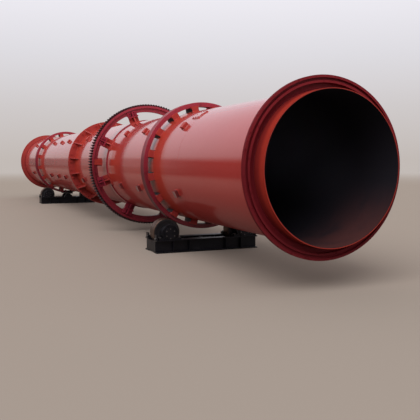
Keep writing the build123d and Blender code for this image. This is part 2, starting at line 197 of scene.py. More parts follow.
# %% Set up the camera
SENSOR_WIDTH, LENS, FARTHEST_SEEN = 36.0, 53.087, 400.0
CAMERA_ASIDE, CAMERA_BACK, CAMERA_RISE = -4.0242, 5.7554, 0.1115
TILT_DOWN, TURN_RIGHT = 0.08217, 0.41159
camera_data = bpy.data.cameras.new("viewpoint")
camera_data.sensor_width = SENSOR_WIDTH
camera_data.lens = LENS
camera_data.clip_end = FARTHEST_SEEN
camera = bpy.data.objects.new("viewpoint", camera_data)
camera.location = (CAMERA_ASIDE, mouth_station - CAMERA_BACK, axis_height + CAMERA_RISE)
camera.rotation_euler = (math.pi / 2 - TILT_DOWN, 0.0, -TURN_RIGHT)
bpy.context.scene.collection.objects.link(camera)
bpy.context.scene.camera = camera
bpy.context.scene.view_settings.view_transform = "Standard"
print("camera", [round(v, 3) for v in camera.location], "lens", camera_data.lens)

# %% [markdown]
# ## Surfaces from formulas
# New pieces are grids of points worked out with numpy: rows and columns of one shape, and as many
# copies of it as the object has. Modelling by hand would be slow to repeat. One function turns the
# grid into quads, closes its poles, points its faces outwards and puts it on a moving body.

# %% From points to a piece
def quads(copies, rows, columns, wrap_rows):
    """Corner numbers of the quads of a grid whose columns close on themselves."""
    row, column = np.meshgrid(np.arange(rows if wrap_rows else rows - 1), np.arange(columns),
                              indexing="ij")
    next_row, next_column = (row + 1) % rows, (column + 1) % columns
    one = np.stack([row * columns + column, row * columns + next_column,
                    next_row * columns + next_column, next_row * columns + column], axis=-1)
    starts = np.arange(copies)[:, None, None] * rows * columns
    return (one.reshape(1, -1, 4) + starts).reshape(-1, 4)


def mesh_object(name, points, wrap_rows, sharp_angle=None):
    """A mesh object from points[copy, row, column, xyz], with merged poles and outward faces."""
    copies, rows, columns = points.shape[:3]
    faces = quads(copies, rows, columns, wrap_rows)
    mesh = bpy.data.meshes.new(name)
    mesh.vertices.add(points.size // 3)
    mesh.vertices.foreach_set("co", points.astype(np.float32).ravel())
    mesh.loops.add(faces.size)
    mesh.loops.foreach_set("vertex_index", faces.astype(np.int32).ravel())
    mesh.polygons.add(len(faces))
    mesh.polygons.foreach_set("loop_start", np.arange(0, faces.size, 4, dtype=np.int32))
    mesh.update(calc_edges=True)
    work = bmesh.new()
    work.from_mesh(mesh)
    bmesh.ops.remove_doubles(work, verts=work.verts, dist=1e-5)
    bmesh.ops.recalc_face_normals(work, faces=work.faces)
    work.to_mesh(mesh)
    work.free()
    mesh.shade_smooth()
    if sharp_angle:
        mesh.set_sharp_from_angle(angle=math.radians(sharp_angle))
    made = bpy.data.objects.new(name, mesh)
    bpy.context.scene.collection.objects.link(made)
    return made


def piece(name, points, body, finish, wrap_rows=False, sharp_angle=None):
    """Make a piece that rides on a body and wears the finish it is given."""
    made = mesh_object(name, points, wrap_rows, sharp_angle)
    made.data.materials.append(finish)
    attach(made, body)
    print(name, "on", body, "has", len(made.data.polygons), "faces")


print("a 3 by 4 open grid has", len(quads(1, 3, 4, False)), "quads")

# %% [markdown]
# ## Backdrop and light
# Glossy paint shows what stands round it. A sky-coloured backdrop, paler towards the top, gives
# the upper half of the drum its light sheen. A picture of a real sky could do that too, but its
# clouds would show in the paint. The light itself is plain: an even dome and one broad soft sun
# from the upper left, at a level where colours come out about as written.

# %% World and sun
def seen_directly(start):
    """1 for rays from the camera and for mirrored or transmitted ones, 0 for scattered light."""
    ray = start.node("ShaderNodeLightPath", out="Is Camera Ray")
    return ray.either(ray.beside("Is Glossy Ray")).either(ray.beside("Is Transmission Ray"))


HORIZON = screen(194, 186, 181)
DOME_STRENGTH, SUN_STRENGTH = 0.62, 1.75
SUN_SPREAD, SUN_DIRECTION = math.radians(50), Vector((0.55, 0.55, -0.75))
world = bpy.data.worlds.new("studio")
world.use_nodes = True
world.node_tree.nodes.clear()
start = Wire(world.node_tree)
direction = start.node("ShaderNodeTexCoord", out="Generated")
height = direction.part("Z")
backdrop = start.node("ShaderNodeValToRGB", {"stops": [
    (0.0, HORIZON), (0.08, screen(207, 202, 202)), (0.16, screen(222, 220, 225)),
    (0.25, screen(239, 237, 244)), (0.38, screen(249, 244, 255)), (1.0, screen(252, 248, 255))]},
    {0: height})
shown = start.node("ShaderNodeBackground", None, {"Color": backdrop, "Strength": 1.0})
dome = start.node("ShaderNodeBackground", None,
                  {"Color": screen(246, 247, 250), "Strength": DOME_STRENGTH})
mixed = seen_directly(start).blend(dome, shown)
start.node("ShaderNodeOutputWorld", None, {"Surface": mixed})
bpy.context.scene.world = world

sun_data = bpy.data.lights.new("broad_sun", "SUN")
sun_data.energy = SUN_STRENGTH
sun_data.angle = SUN_SPREAD
sun = bpy.data.objects.new("broad_sun", sun_data)
sun.rotation_euler = SUN_DIRECTION.to_track_quat("-Z", "Y").to_euler()
bpy.context.scene.collection.objects.link(sun)
print("dome", DOME_STRENGTH, "sun", SUN_STRENGTH)

# %% [markdown]
# ## Floor and curtain
# The floor is a plain pale disc that keeps the shadow and fades into the backdrop far away. To
# scattered light it is dark earth, so that it throws no glow on the underside of the drum. A low
# dark curtain hangs along both sides, out of the camera's sight. It thins out towards its top, and
# its hem lies on the floor and thins out inwards.
# Photographers put such a card beside glossy things: it draws the soft dark line between mirrored
# sky and mirrored floor that tells the eye that the paint is smooth and the drum is round.

# %% Lay the floor and hang the curtain
def stage_piece(name, points, material):
    """A mesh that belongs to the studio and not to the object."""
    made = mesh_object(name, points, False)
    made.data.materials.append(material)
    return made


def turned_rings(radii, heights, count):
    """Rings round the Z axis, one for each pair of radius and height, as one grid of points."""
    angle = np.linspace(0, 2 * np.pi, count, endpoint=False)
    radius, height = np.array(radii)[:, None], np.array(heights)[:, None]
    return np.stack(np.broadcast_arrays(radius * np.cos(angle), radius * np.sin(angle), height),
                    axis=-1)[None]


def new_finish(name):
    """An empty material, and a wire with the Object coordinates of the surface."""
    material = bpy.data.materials.new(name)
    material.use_nodes = True
    material.node_tree.nodes.clear()
    return material, Wire(material.node_tree).node("ShaderNodeTexCoord", out="Object")


def coat_with(place, shader):
    """Join a shader to the material's output."""
    place.node("ShaderNodeOutputMaterial", None, {"Surface": shader})


FLOOR_RINGS, FLOOR_FADE = [0.0, 20.0, 40.0, 80.0, 160.0], (22.0, 60.0)
floor_finish, place = new_finish("pale_floor")
pale_floor = place.node("ShaderNodeBsdfDiffuse", None, {"Color": screen(172, 158, 147)})
dark_earth = place.node("ShaderNodeBsdfDiffuse", None, {"Color": screen(86, 78, 70)})
floor_shader = seen_directly(place).blend(dark_earth, pale_floor)
far_shader = place.node("ShaderNodeEmission", None, {"Color": HORIZON})
distance = place.node("ShaderNodeVectorMath", {"operation": "LENGTH"}, {0: place}, out="Value")
coat_with(place, distance.step(*FLOOR_FADE).blend(floor_shader, far_shader))
stage_piece("floor", turned_rings(FLOOR_RINGS, [0.0] * len(FLOOR_RINGS), 96), floor_finish)

CURTAIN_STRETCH = np.array([5.6, 60.0, 1.0])
CURTAIN_TOP, CURTAIN_FADE = 3.4, (1.9, 3.3)
HEM_START, HEM_HEIGHT = 0.5, 0.004
NEAR_THINNING, FAR_THICKENING = (1.0, 11.0), (16.0, 30.0)
curtain_finish, place = new_finish("dark_curtain")
cloth = place.node("ShaderNodeBsdfDiffuse", None, {"Color": screen(56, 40, 36)})
nothing = place.node("ShaderNodeBsdfTransparent")
cloth_height = place.part("Z")
from_middle = cloth_height.beside("Y").maths("ABSOLUTE")
far_off = from_middle.step(*NEAR_THINNING) * 0.5 - from_middle.step(*FAR_THICKENING) * 0.2
across = cloth_height.beside("X") * (1 / CURTAIN_STRETCH[0])
along = cloth_height.beside("Y") * (1 / CURTAIN_STRETCH[1])
hem = ((across * across + along * along) ** 0.5).step(HEM_START, 1.0)
thin = cloth_height.step(*CURTAIN_FADE).either(far_off).either(1 - hem)
coat_with(place, thin.blend(cloth, nothing))
curtain_rings = turned_rings([HEM_START, 1.0, 1.0], [HEM_HEIGHT, HEM_HEIGHT, CURTAIN_TOP], 128)
curtain = stage_piece("curtain", curtain_rings * CURTAIN_STRETCH, curtain_finish)
curtain.visible_camera = False
curtain.visible_diffuse = False
curtain.visible_shadow = False
print("floor and curtain laid")

# %% [markdown]
# ## What all the paints share
# Factory paint is never one even colour: it clouds a little from pass to pass, and under a lamp it
# shows the fine dimples of spray. Image textures could hold that, but noise on Object coordinates
# stays sharp at every distance and needs no file. These helpers give a point's place on the drum,
# the dimples and a painted shade below the axis, and each finish adds what is special to it.

# %% Paint helpers
def drum_places(place):
    """Distance from the drum axis, angle round it in radians, and station along it in metres."""
    across = place.part("X")
    above = across.beside("Z") - axis_height
    distance = (across * across + above * above) ** 0.5
    return distance, above.maths("ARCTAN2", across), across.beside("Y")


def bumped(place, height, depth, strength=1.0):
    """A normal tilted by a height, where 1 stands for so many metres of depth."""
    return place.node("ShaderNodeBump", None,
                      {"Strength": strength, "Distance": depth, "Height": height})


def orange_peel(place):
    """A normal with the dimples of sprayed paint: fine noise as a height."""
    return bumped(place, place.noise(DIMPLES, 1.0), PEEL_DEPTH)


def painted_low_shade(place, colour, share):
    """Darken a drum colour below the axis: a painted shade on the drum's lower side."""
    above = place.part("Z") - axis_height
    ragged = above + (place.noise(1.7, 4.0) - 0.5) * 0.2
    return (1 - ragged.step(-0.30, 0.60)).darken(colour, share)


def steel_coat(place, constants, varying):
    """Join a Principled shader: values that are the same all over, then those that vary."""
    coat_with(place, place.node("ShaderNodeBsdfPrincipled", None, {**constants, **varying}))


DIMPLES, PEEL_DEPTH, BRUSH_DEPTH = 140.0, 0.00025, 0.0009
# Shares of the red that the painted shade below the axis leaves, heavy and light.
HEAVY_LOW_SHADE = (0.46, 0.44, 0.44, 1.0)
LIGHT_LOW_SHADE = (0.74, 0.74, 0.78, 1.0)
print("dirt leaves", HEAVY_LOW_SHADE[0], "or", LIGHT_LOW_SHADE[0], "of the red")

# %% [markdown]
# ## Shell paint
# The shell is sprayed a glossy orange-red. After the fitters had welded the fittings on, they
# touched up the burnt paint by brush, so dull brighter patches lie round the tyres, the gear and
# the joint. Under the drum the spray fell dry and has less gloss, and the inside is bare and sooty,
# with painted light deeper in: pale grey on the upper side, dark below.
# Several materials would need a mesh cut along every edge. One material does it all here, because
# a point's place round and along the axis tells which paint it has.

# %% Mix the shell paint
BORE_EDGE = (0.8852, 0.8864)
TOUCH_UP_BANDS = (
    (tyre_stations["front"] - 0.61, 0.11, tyre_stations["front"] + 0.015, 0.012),
    (-0.60, 0.07, 0.60, 0.07),
    (tyre_stations["rear"] - 0.95, 0.07, tyre_stations["rear"] + 0.40, 0.07),
)
GEAR_PATCH, GEAR_FINGERS = (-1.06, -0.42), (-0.60, -0.05)
BRACKET_COUNT, BRACKET_PHASE = 8, math.radians(19)


def bore_soot_and_light(place, distance, angle, station):
    """Mask and colour inside: brown dust on the lower lip, sooty plate, painted light deep on top.
    """
    mask = 1 - distance.step(*BORE_EDGE)
    inwards = station.maths("ABSOLUTE") * -1.0 - mouth_station
    dust = (1 - inwards.step(0.1, 1.3)) * (1 - angle.maths("SINE").step(-1.0, -0.1))
    # Painted light and shade: pale grey deeper in on the upper side, dark below, to even out the
    # bore.
    grey = inwards.step(0.6, 3.5) * angle.maths("SINE").step(-0.7, 0.5)
    black = grey.tint(screen(36, 33, 39), screen(170, 166, 186))
    return mask, (dust * place.noise(2.5, 4.0).step(0.1, 0.6)).tint(black, screen(80, 47, 46))


def brushed_patches(place, angle, station):
    """Where the brush has been: bands round the drum, and patches in front of the gear's sides."""
    ragged = station + (place.noise(5.0, 4.0) - 0.5) * 0.16
    sides = ((angle + (place.noise(4.0, 3.0) - 0.5) * 0.2) * 2.0).maths("COSINE").step(0.62, 0.86)
    fingers = ((angle - BRACKET_PHASE) * BRACKET_COUNT).maths("COSINE").step(0.1, 0.6)
    from_gear = ragged - gear_station
    patches = from_gear.within(*GEAR_PATCH, 0.07)
    patches = patches.either(from_gear.within(*GEAR_FINGERS, 0.06) * fingers) * sides
    for first, soft_first, last, soft_last in TOUCH_UP_BANDS:
        begun = ragged.edge(first, soft_first)
        ended = station.edge(last, soft_last)
        patches = patches.either(begun * (1 - ended))
    return patches


def mix_shell_paint():
    """Glossy paint, dull touch-up patches with ragged edges, and a sooty inside with painted light.
    """
    material, place = new_finish("shell_gloss")
    distance, angle, station = drum_places(place)
    clouds = place.noise(0.8, 3.0)
    touch_up = brushed_patches(place, angle, station)
    bare, bore_soot_and_light_colour = bore_soot_and_light(place, distance, angle, station)
    gloss_colour = clouds.tint(screen(173, 56, 51), screen(187, 64, 58))
    brush_colour = clouds.tint(screen(172, 52, 39), screen(188, 62, 47))
    colour = bare.tint(touch_up.tint(gloss_colour, brush_colour), bore_soot_and_light_colour)
    brush_marks = place.noise(26.0, 2.0)
    sprayed_well = 0.3 + 0.7 * angle.maths("SINE").step(-0.45, 0.0)
    height = (place.noise(DIMPLES, 1.0) * 0.00012 + place.noise(1.6, 2.0) * 0.003
              + brush_marks * touch_up * 0.0006)
    normal = bumped(place, height, 1.0)
    steel_coat(
        place, {"Coat Roughness": 0.09, "Coat IOR": 1.6, "Specular IOR Level": 0.06},
        {"Base Color": colour, "Normal": normal,
         "Roughness": 0.5 + 0.15 * brush_marks + 0.2 * bare,
         "Coat Weight": (1 - touch_up * 0.35) * (1 - bare) * sprayed_well})
    return material


shell_gloss = mix_shell_paint()
print(shell_gloss.name, "has", len(shell_gloss.node_tree.nodes), "nodes")

# %% [markdown]
# ## Crimson tyres and gear
# Tyres and gear arrive from the foundry in a bluer red. The tyre's rim is polished by the
# rollers, the teeth are packed with dark grease, and the gear's two halves meet in a thin dark
# line at the splice lugs, which were brushed over after bolting. Separate pieces could wear
# separate materials, but masks by radius and angle paint a face exactly to its edge.

# %% Mix the crimson paints
SPLICE_ANGLE = math.radians(-2.5)
SPLICE_HALF, SPLICE_FOOT, SPLICE_TOP = 0.058, 0.987, 1.158
SPLIT_HALF, TOOTH_DEPTH, TYRE_SKIN = 0.0017, 0.037, 0.002


def crimson_paint(name, wear_from, worn_colour, second_colour):
    """Start a crimson finish whose face beyond the radius wear_from is streaked in two colours."""
    material, place = new_finish(name)
    distance, angle, station = drum_places(place)
    clouds = place.noise(1.2, 4.0)
    smear = place.noise(9.0, 5.0)
    stretched = place.node("ShaderNodeCombineXYZ", None,
                           {"X": angle * 1.5, "Y": station * 70.0, "Z": 0.0})
    streaks = stretched.noise(1.0, 3.0)
    worn = distance.edge(wear_from, 0.002)
    paint = clouds.tint(screen(160, 45, 61), screen(179, 54, 71))
    paint = smear.step(0.55, 0.8).tint(paint, screen(132, 36, 48))
    face = streaks.tint(worn_colour, second_colour)
    roughness = (1 - worn) * (0.42 + 0.16 * smear) + worn * (0.48 + 0.2 * streaks)
    # Painted shade: the tyres and the gear are darker below the axis.
    colour = painted_low_shade(place, worn.tint(paint, face), HEAVY_LOW_SHADE)
    return material, place, colour, worn, roughness


def satin_coat(place, colour, worn, roughness, worn_gloss=0.0):
    """Join a satin paint, with another gloss where it is worn, to its material."""
    steel_coat(
        place, {"Coat Roughness": 0.14, "Coat IOR": 1.6, "Specular IOR Level": 0.12},
        {"Base Color": colour, "Roughness": roughness, "Normal": orange_peel(place),
         "Coat Weight": 0.34 * (1 - worn) + worn_gloss * worn})


def mix_tyre_crimson():
    """Crimson sides and a rolling face that the rollers have polished."""
    material, *parts = crimson_paint("tyre_crimson", tyre_radius - TYRE_SKIN,
                                     screen(150, 62, 70), screen(132, 50, 58))
    satin_coat(*parts, worn_gloss=0.1)
    return material


def mix_gear_crimson():
    """Crimson rim and web, greasy teeth, brushed splice lugs and the dark line of the split."""
    material, place, colour, worn, roughness = crimson_paint(
        "gear_crimson", gear_radius - TOOTH_DEPTH, screen(24, 19, 23), screen(84, 24, 32))
    distance, angle, _ = drum_places(place)
    aside = ((angle - SPLICE_ANGLE).maths("SINE") * distance).maths("ABSOLUTE")
    lug = (1 - aside.edge(SPLICE_HALF, 0.002)) * (1 - distance.edge(SPLICE_TOP, 0.008))
    split = (1 - aside.edge(SPLIT_HALF, 0.0005)) * distance.edge(SPLICE_FOOT, 0.002)
    brushed = place.noise(1.2, 4.0).tint(screen(158, 46, 40), screen(172, 56, 47))
    colour = split.tint(lug.tint(colour, brushed), screen(20, 12, 14))
    satin_coat(place, colour, worn, roughness)
    return material


tyre_crimson = mix_tyre_crimson()
gear_crimson = mix_gear_crimson()
print(tyre_crimson.name, gear_crimson.name)

# %% [markdown]
# ## Brush-painted fittings
# Joint flanges, gussets and the far end ring were painted by brush in the same bright orange-red
# as the touch-up patches. A single flat red would make their flat faces look like plastic. Brush
# clouds, thin spots of primer and a dull sheen tell the eye that it is thick paint on rough plate.
# Pads, brackets and bosses take the same paint and add the colour of their places, with painted
# shade on the pads' sides, in the brackets' corners and on the lower bosses' sides.

# %% Mix the fitting paints
STRAP_TOP, STRAP_EDGE = 0.9197, 0.0032
RIB_DEPTH, RIB_CORNER, CRIMSON_FROM = 0.079, (0.935, 1.125), (1.005, 1.035)
UNDER_TYRE = (-0.078, 0.30)
PAD_COUNT, PAD_PHASE = 16, math.radians(10.5)
BOSS_TOP = shell_radius + 0.055


def brush_paint(name):
    """A new brush paint: material, place, colour clouds with thin spots, normal and roughness."""
    material, place = new_finish(name)
    clouds = place.noise(3.0, 4.0)
    thin = place.noise(14.0, 6.0).step(0.66, 0.80)
    brush_marks = place.noise(60.0, 3.0)
    paint = thin.tint(clouds.tint(screen(170, 54, 48), screen(188, 65, 58)), screen(144, 45, 45))
    normal = bumped(place, brush_marks, BRUSH_DEPTH)
    return material, place, paint, normal, 0.5 + 0.16 * brush_marks


def brush_coat(place, paint, normal, roughness, gloss=0.08):
    """Join a dull brush paint, with painted shade on the drum's lower side, to its material."""
    steel_coat(
        place, {"Coat Roughness": 0.2, "Specular IOR Level": 0.2},
        {"Base Color": painted_low_shade(place, paint, LIGHT_LOW_SHADE), "Normal": normal,
         "Roughness": roughness, "Coat Weight": gloss})


def mix_fitting_paint(name, gloss):
    """Brush paint alone."""
    material, *parts = brush_paint(name)
    brush_coat(*parts, gloss)
    return material


def mix_pad_paint():
    """Brush paint in front of the tyre, crimson under it, and painted shade on the pads' sides."""
    material, place, paint, normal, roughness = brush_paint("pad_paint")
    _, angle, station = drum_places(place)
    front, rear = ((station - tyre_station).within(*UNDER_TYRE, 0.008)
                   for tyre_station in tyre_stations.values())
    # Painted shade: the pads' side faces are near black.
    sides = 1 - ((angle - PAD_PHASE) * PAD_COUNT).maths("COSINE").step(0.525, 0.545)
    paint = front.either(rear).tint(paint, screen(132, 30, 48))
    brush_coat(place, sides.tint(paint, screen(24, 14, 15)), normal, roughness)
    return material


def mix_bracket_paint():
    """Crimson upper half and strap front, orange feet, painted shade in corners by the ribs."""
    material, place, paint, normal, roughness = brush_paint("bracket_paint")
    distance, angle, station = drum_places(place)
    ragged = distance + (place.noise(11.0, 4.0) - 0.5) * 0.05
    upper = ragged.step(*CRIMSON_FROM)
    turns = (angle - BRACKET_PHASE) * BRACKET_COUNT
    strap = (1 - turns.maths("COSINE").step(0.38, 0.50)) * (1 - distance.edge(STRAP_TOP, 0.0005))
    strap_top = strap * distance.edge(STRAP_TOP - STRAP_EDGE, 0.0005)
    lower_side = 1 - angle.maths("SINE").step(-0.75, -0.45)
    crimson = place.noise(3.0, 3.0).tint(screen(146, 36, 54), screen(162, 44, 62))
    colour = upper.either(strap).either(lower_side).tint(paint, crimson)
    # Painted shade: dark corners beside the ribs, behind the plate face and between two radii.
    corner = turns.maths("SINE").maths("ABSOLUTE").within(0.085, 0.20, 0.03)
    corner = corner * turns.maths("COSINE").step(0.0, 0.2)
    painted_rib_shade = corner * station.edge(gear_station - RIB_DEPTH, 0.003)
    painted_rib_shade = painted_rib_shade * distance.within(*RIB_CORNER, 0.012)
    colour = strap_top.tint(painted_rib_shade.tint(colour, screen(44, 16, 20)), screen(166, 56, 50))
    brush_coat(place, colour, normal, roughness, 0.08 + 0.8 * strap_top)
    return material


def mix_boss_paint():
    """Brush paint on upper bosses; sprayed paint on lower ones, with dull sides in painted shade.
    """
    material, place, paint, normal, roughness = brush_paint("boss_paint")
    distance, angle, _ = drum_places(place)
    upper = angle.maths("SINE").step(-0.05, 0.05)
    outer = distance.edge(BOSS_TOP - 0.003, 0.001)
    # Painted shade: the lower bosses' sides are darker than their outer faces.
    sprayed = outer.tint(screen(114, 41, 40), screen(152, 60, 56))
    brush_coat(place, upper.tint(sprayed, paint), normal, roughness,
               0.1 * upper + 0.75 * outer * (1 - upper))
    return material


fitting_orange = mix_fitting_paint("fitting_orange", 0.25)
far_end_orange = mix_fitting_paint("far_end_orange", 0.6)
pad_paint = mix_pad_paint()
bracket_paint = mix_bracket_paint()
boss_paint = mix_boss_paint()
print(fitting_orange.name, pad_paint.name, bracket_paint.name, boss_paint.name)

# %% [markdown]
# ## Drum ends
# The mouth collar is bright outside and sooty inside, and a painted shade darkens it towards the
# seal ring behind it. The front flange and seal ring are a deep maroon, because they were primed
# and not yet finished, with painted shade in the groove and below the axis. The soot, with its
# painted light deeper in, could be mixed anew for the collar, but it shares the shell's, so the two
# meet without a step.

# %% Mix the end paints
SEAL_RADIUS, GROOVE_FACE, COLLAR_SHADE = 1.055, -9.747, (0.06, 0.15)


def mix_collar_paint():
    """Satin orange outside, painted shade near the flange, sooty inside with painted light."""
    material, place = new_finish("collar_orange")
    distance, angle, station = drum_places(place)
    bare, bore_soot_and_light_colour = bore_soot_and_light(place, distance, angle, station)
    clouds = place.noise(4.0, 4.0)
    paint = clouds.tint(screen(156, 47, 37), screen(176, 57, 44))
    from_mouth = station.maths("ABSOLUTE") * -1.0 - mouth_station
    # Painted shade: the collar darkens towards the seal ring behind it.
    shade_by_seal = (from_mouth + (place.noise(9.0, 4.0) - 0.5) * 0.03).step(*COLLAR_SHADE)
    steel_coat(
        place, {"Coat Roughness": 0.2, "Specular IOR Level": 0.06},
        {"Base Color": bare.tint(shade_by_seal.tint(paint, screen(132, 38, 35)), bore_soot_and_light_colour),
         "Normal": orange_peel(place), "Roughness": 0.45 + 0.3 * bare + 0.1 * clouds,
         "Coat Weight": 0.3 * (1 - bare)})
    return material


def mix_end_paint():
    """Deep maroon with handling marks; painted shade low and in the groove; a darker outer rim."""
    material, place = new_finish("end_maroon")
    distance, _, station = drum_places(place)
    clouds = place.noise(2.2, 5.0)
    marks = place.noise(17.0, 6.0).step(0.52, 0.75)
    paint = clouds.tint(screen(122, 33, 39), screen(138, 41, 47))
    groove = station.edge(GROOVE_FACE, 0.005) * (1 - distance.edge(SEAL_RADIUS, 0.0001))
    outside = distance.edge(SEAL_RADIUS - 0.001, 0.0005)
    # Painted shade: darker below the axis; next line paints the groove darker as shade, outer rim
    # alike.
    worn = painted_low_shade(place, marks.tint(paint, screen(108, 28, 34)), LIGHT_LOW_SHADE)
    worn = outside.either(groove).tint(worn, screen(112, 29, 36))
    steel_coat(
        place, {"Coat Roughness": 0.22, "Specular IOR Level": 0.02},
        {"Base Color": worn, "Normal": orange_peel(place), "Roughness": 0.5 + 0.2 * marks,
         "Coat Weight": (0.12 - 0.08 * marks) * (1 - outside)})
    return material


collar_orange = mix_collar_paint()
end_maroon = mix_end_paint()
print(collar_orange.name, end_maroon.name)

# %% [markdown]
# ## Steel and black paint
# Rollers are turned steel: the tread is bare and browned, with fine tool rings, and the sides are
# painted black. Frames and bearing housings are black too, with dust and scratches. Tool rings
# could be cut as grooves, but they are finer than a millimetre, so a bump draws them. They follow
# the distance from a roller's own axis, and mirroring X lets one formula serve all four rollers.

# %% Mix the steels
roller_across = middle("front_right_roller", X)
roller_height = middle("front_right_roller", Z)
roller_radius = (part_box("front_right_roller")[1].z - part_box("front_right_roller")[0].z) / 2
thrust_offset = middle("rear_thrust_roller", Y) - tyre_stations["rear"]
TREAD_EDGE, PARTING_HALF = 0.011, 0.0015


def tool_rings(place, distance, along, pitch, depth):
    """A normal with the rings that a lathe leaves: noise by radius and by place along the axis."""
    rings = place.node("ShaderNodeCombineXYZ", None,
                       {"X": distance * pitch, "Y": along * pitch, "Z": 0.0})
    return bumped(place, rings.noise(1.0, 2.0), depth, strength=0.6)


def mix_roller_steel():
    """Browned bare tread, black painted sides, and tool rings round the roller's axis."""
    material, place = new_finish("roller_steel")
    across = place.part("X")
    aside = across.maths("ABSOLUTE") - roller_across
    above = across.beside("Z") - roller_height
    distance = (aside * aside + above * above) ** 0.5
    tread = distance.edge(roller_radius - TREAD_EDGE, 0.003)
    stains = place.noise(12.0, 5.0)
    steel = stains.tint(screen(106, 82, 68), screen(74, 56, 48))
    black = stains.tint(screen(24, 22, 27), screen(38, 34, 36))
    normal = tool_rings(place, distance, across.beside("Y"), 160.0, 0.0006)
    steel_coat(
        place, {},
        {"Base Color": tread.tint(black, steel), "Metallic": 0.85 * tread, "Normal": normal,
         "Roughness": 0.40 + 0.15 * stains})
    return material


def mix_thrust_steel():
    """Dark oiled steel with tool rings round the upright axis of a thrust roller."""
    material, place = new_finish("thrust_steel")
    across = place.part("X")
    along = (across.beside("Y") - tyre_stations["rear"]).maths("ABSOLUTE") - thrust_offset
    distance = (across * across + along * along) ** 0.5
    stains = place.noise(14.0, 5.0)
    normal = tool_rings(place, distance, across.beside("Z"), 180.0, 0.0005)
    steel_coat(
        place, {"Metallic": 0.6},
        {"Base Color": stains.tint(screen(58, 54, 56), screen(36, 32, 33)), "Normal": normal,
         "Roughness": 0.36 + 0.2 * stains})
    return material


def mix_frame_black(name, parting):
    """Black paint with grey-brown dust and a few bare scratches; housings also show their split."""
    material, place = new_finish(name)
    dust = place.noise(5.0, 6.0).step(0.45, 0.85)
    scuffs = place.noise(38.0, 4.0).step(0.68, 0.74)
    paint = dust.tint(screen(14, 13, 19), screen(32, 28, 32))
    colour = scuffs.tint(paint, screen(70, 62, 62))
    if parting:
        above = place.part("Z") - roller_height
        colour = above.within(-PARTING_HALF, PARTING_HALF, 0.0006).tint(colour, screen(5, 5, 6))
    steel_coat(
        place, {"Specular IOR Level": 0.22},
        {"Base Color": colour, "Normal": orange_peel(place), "Roughness": 0.38 + 0.25 * dust})
    return material


def mix_bolt_zinc():
    """Dull plated steel of bolt heads and nuts, darker where the noise is high."""
    material, place = new_finish("bolt_zinc")
    stains = place.noise(55.0, 3.0)
    steel_coat(
        place, {"Metallic": 0.9},
        {"Base Color": stains.tint(screen(124, 120, 120), screen(66, 60, 60)),
         "Roughness": 0.32 + 0.2 * stains})
    return material


roller_steel = mix_roller_steel()
thrust_steel = mix_thrust_steel()
frame_black = mix_frame_black("frame_black", False)
housing_black = mix_frame_black("housing_black", True)
bolt_zinc = mix_bolt_zinc()
print(roller_steel.name, thrust_steel.name, frame_black.name, housing_black.name, bolt_zinc.name)

# %% [markdown]
# ## Dress the CAD pieces
# Each CAD piece keeps its mesh and only changes its material. A table from name endings to
# finishes is easier to check than a list of forty-five names.

# %% Hand out the finishes
FINISH_BY_ENDING = (
    (("_course", "inspection_cover"), shell_gloss),
    ("_collar", collar_orange),
    (("rear_end_flange", "rear_seal_ring"), far_end_orange),
    (("_end_flange", "_seal_ring"), end_maroon),
    ("_tyre", tyre_crimson),
    ("girth_gear", gear_crimson),
    ("_pads", pad_paint),
    ("_brackets", bracket_paint),
    (("_joint_flange", "_gussets"), fitting_orange),
    ("_lugs", boss_paint),
    ("_thrust_roller", thrust_steel),
    (("_roller", "_shaft"), roller_steel),
    ("_housings", housing_black),
    ("", frame_black),
)
for node_name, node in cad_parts.items():
    finish = next(made for ending, made in FINISH_BY_ENDING if node_name.endswith(ending))
    node.data.materials.clear()
    node.data.materials.append(finish)
print("dressed", len(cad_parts), "CAD pieces")

# %% [markdown]
# ## Seam welds
# The shell is rolled in courses, and a machine lays one bead round the drum where two courses
# meet. The flanges have a corner bead where they stand on the shell. A bead could be a bent tube,
# but a real one is low and swells with every pulse of the arc, so its profile is carried round the
# axis and breathes along the way.

# %% Lay the ring beads
RIPPLES, PULSE, WANDER = 380, 0.12, 0.06
BUTT_BEAD = ((-0.001, -0.010), (0.0004, -0.006), (0.0007, 0.0), (0.0004, 0.006), (-0.001, 0.010))
CORNER_BEAD = ((-0.001, -0.001), (0.010, -0.001), (0.0064, 0.0048), (0.0048, 0.0064),
               (-0.001, 0.010))


def on_drum(radius, angle, station, aside=0.0):
    """Points by radius, angle and station; aside is a step square to the radius."""
    return np.stack(np.broadcast_arrays(
        radius * np.cos(angle) - aside * np.sin(angle), station,
        axis_height + radius * np.sin(angle) + aside * np.cos(angle)), axis=-1)


def ring_bead(profile, radius, station, facing=1.0):
    """A profile of (rise, shift) carried round the axis; it swells by cos(ripples x angle)."""
    angle = np.linspace(0, 2 * np.pi, 4 * RIPPLES, endpoint=False)
    swell = 1 + PULSE * np.cos(RIPPLES * angle) + WANDER * np.sin(23 * angle) * np.sin(7 * angle)
    rise, shift = np.array(profile).T[:, :, None] * swell
    return on_drum(radius + rise, angle, station + facing * shift)


seam_beads = np.stack([ring_bead(BUTT_BEAD, shell_radius, station) for station in seam_stations])
piece("seam_welds", seam_beads, "drum", shell_gloss, wrap_rows=True)

joint_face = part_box("rear_joint_flange")[1].y
joint_beads = np.stack([ring_bead(CORNER_BEAD, shell_radius, facing * joint_face, facing)
                        for facing in (-1, 1)])
piece("joint_welds", joint_beads, "drum", fitting_orange, wrap_rows=True)

end_beads = np.stack([
    ring_bead(CORNER_BEAD, radius, facing * station, turn * facing)
    for facing in (-1, 1)
    for radius, station, turn in ((collar_radius, -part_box("front_end_flange")[0].y, 1),
                                  (shell_radius, -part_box("front_end_flange")[1].y, -1))])
piece("end_welds", end_beads, "drum", end_maroon, wrap_rows=True)

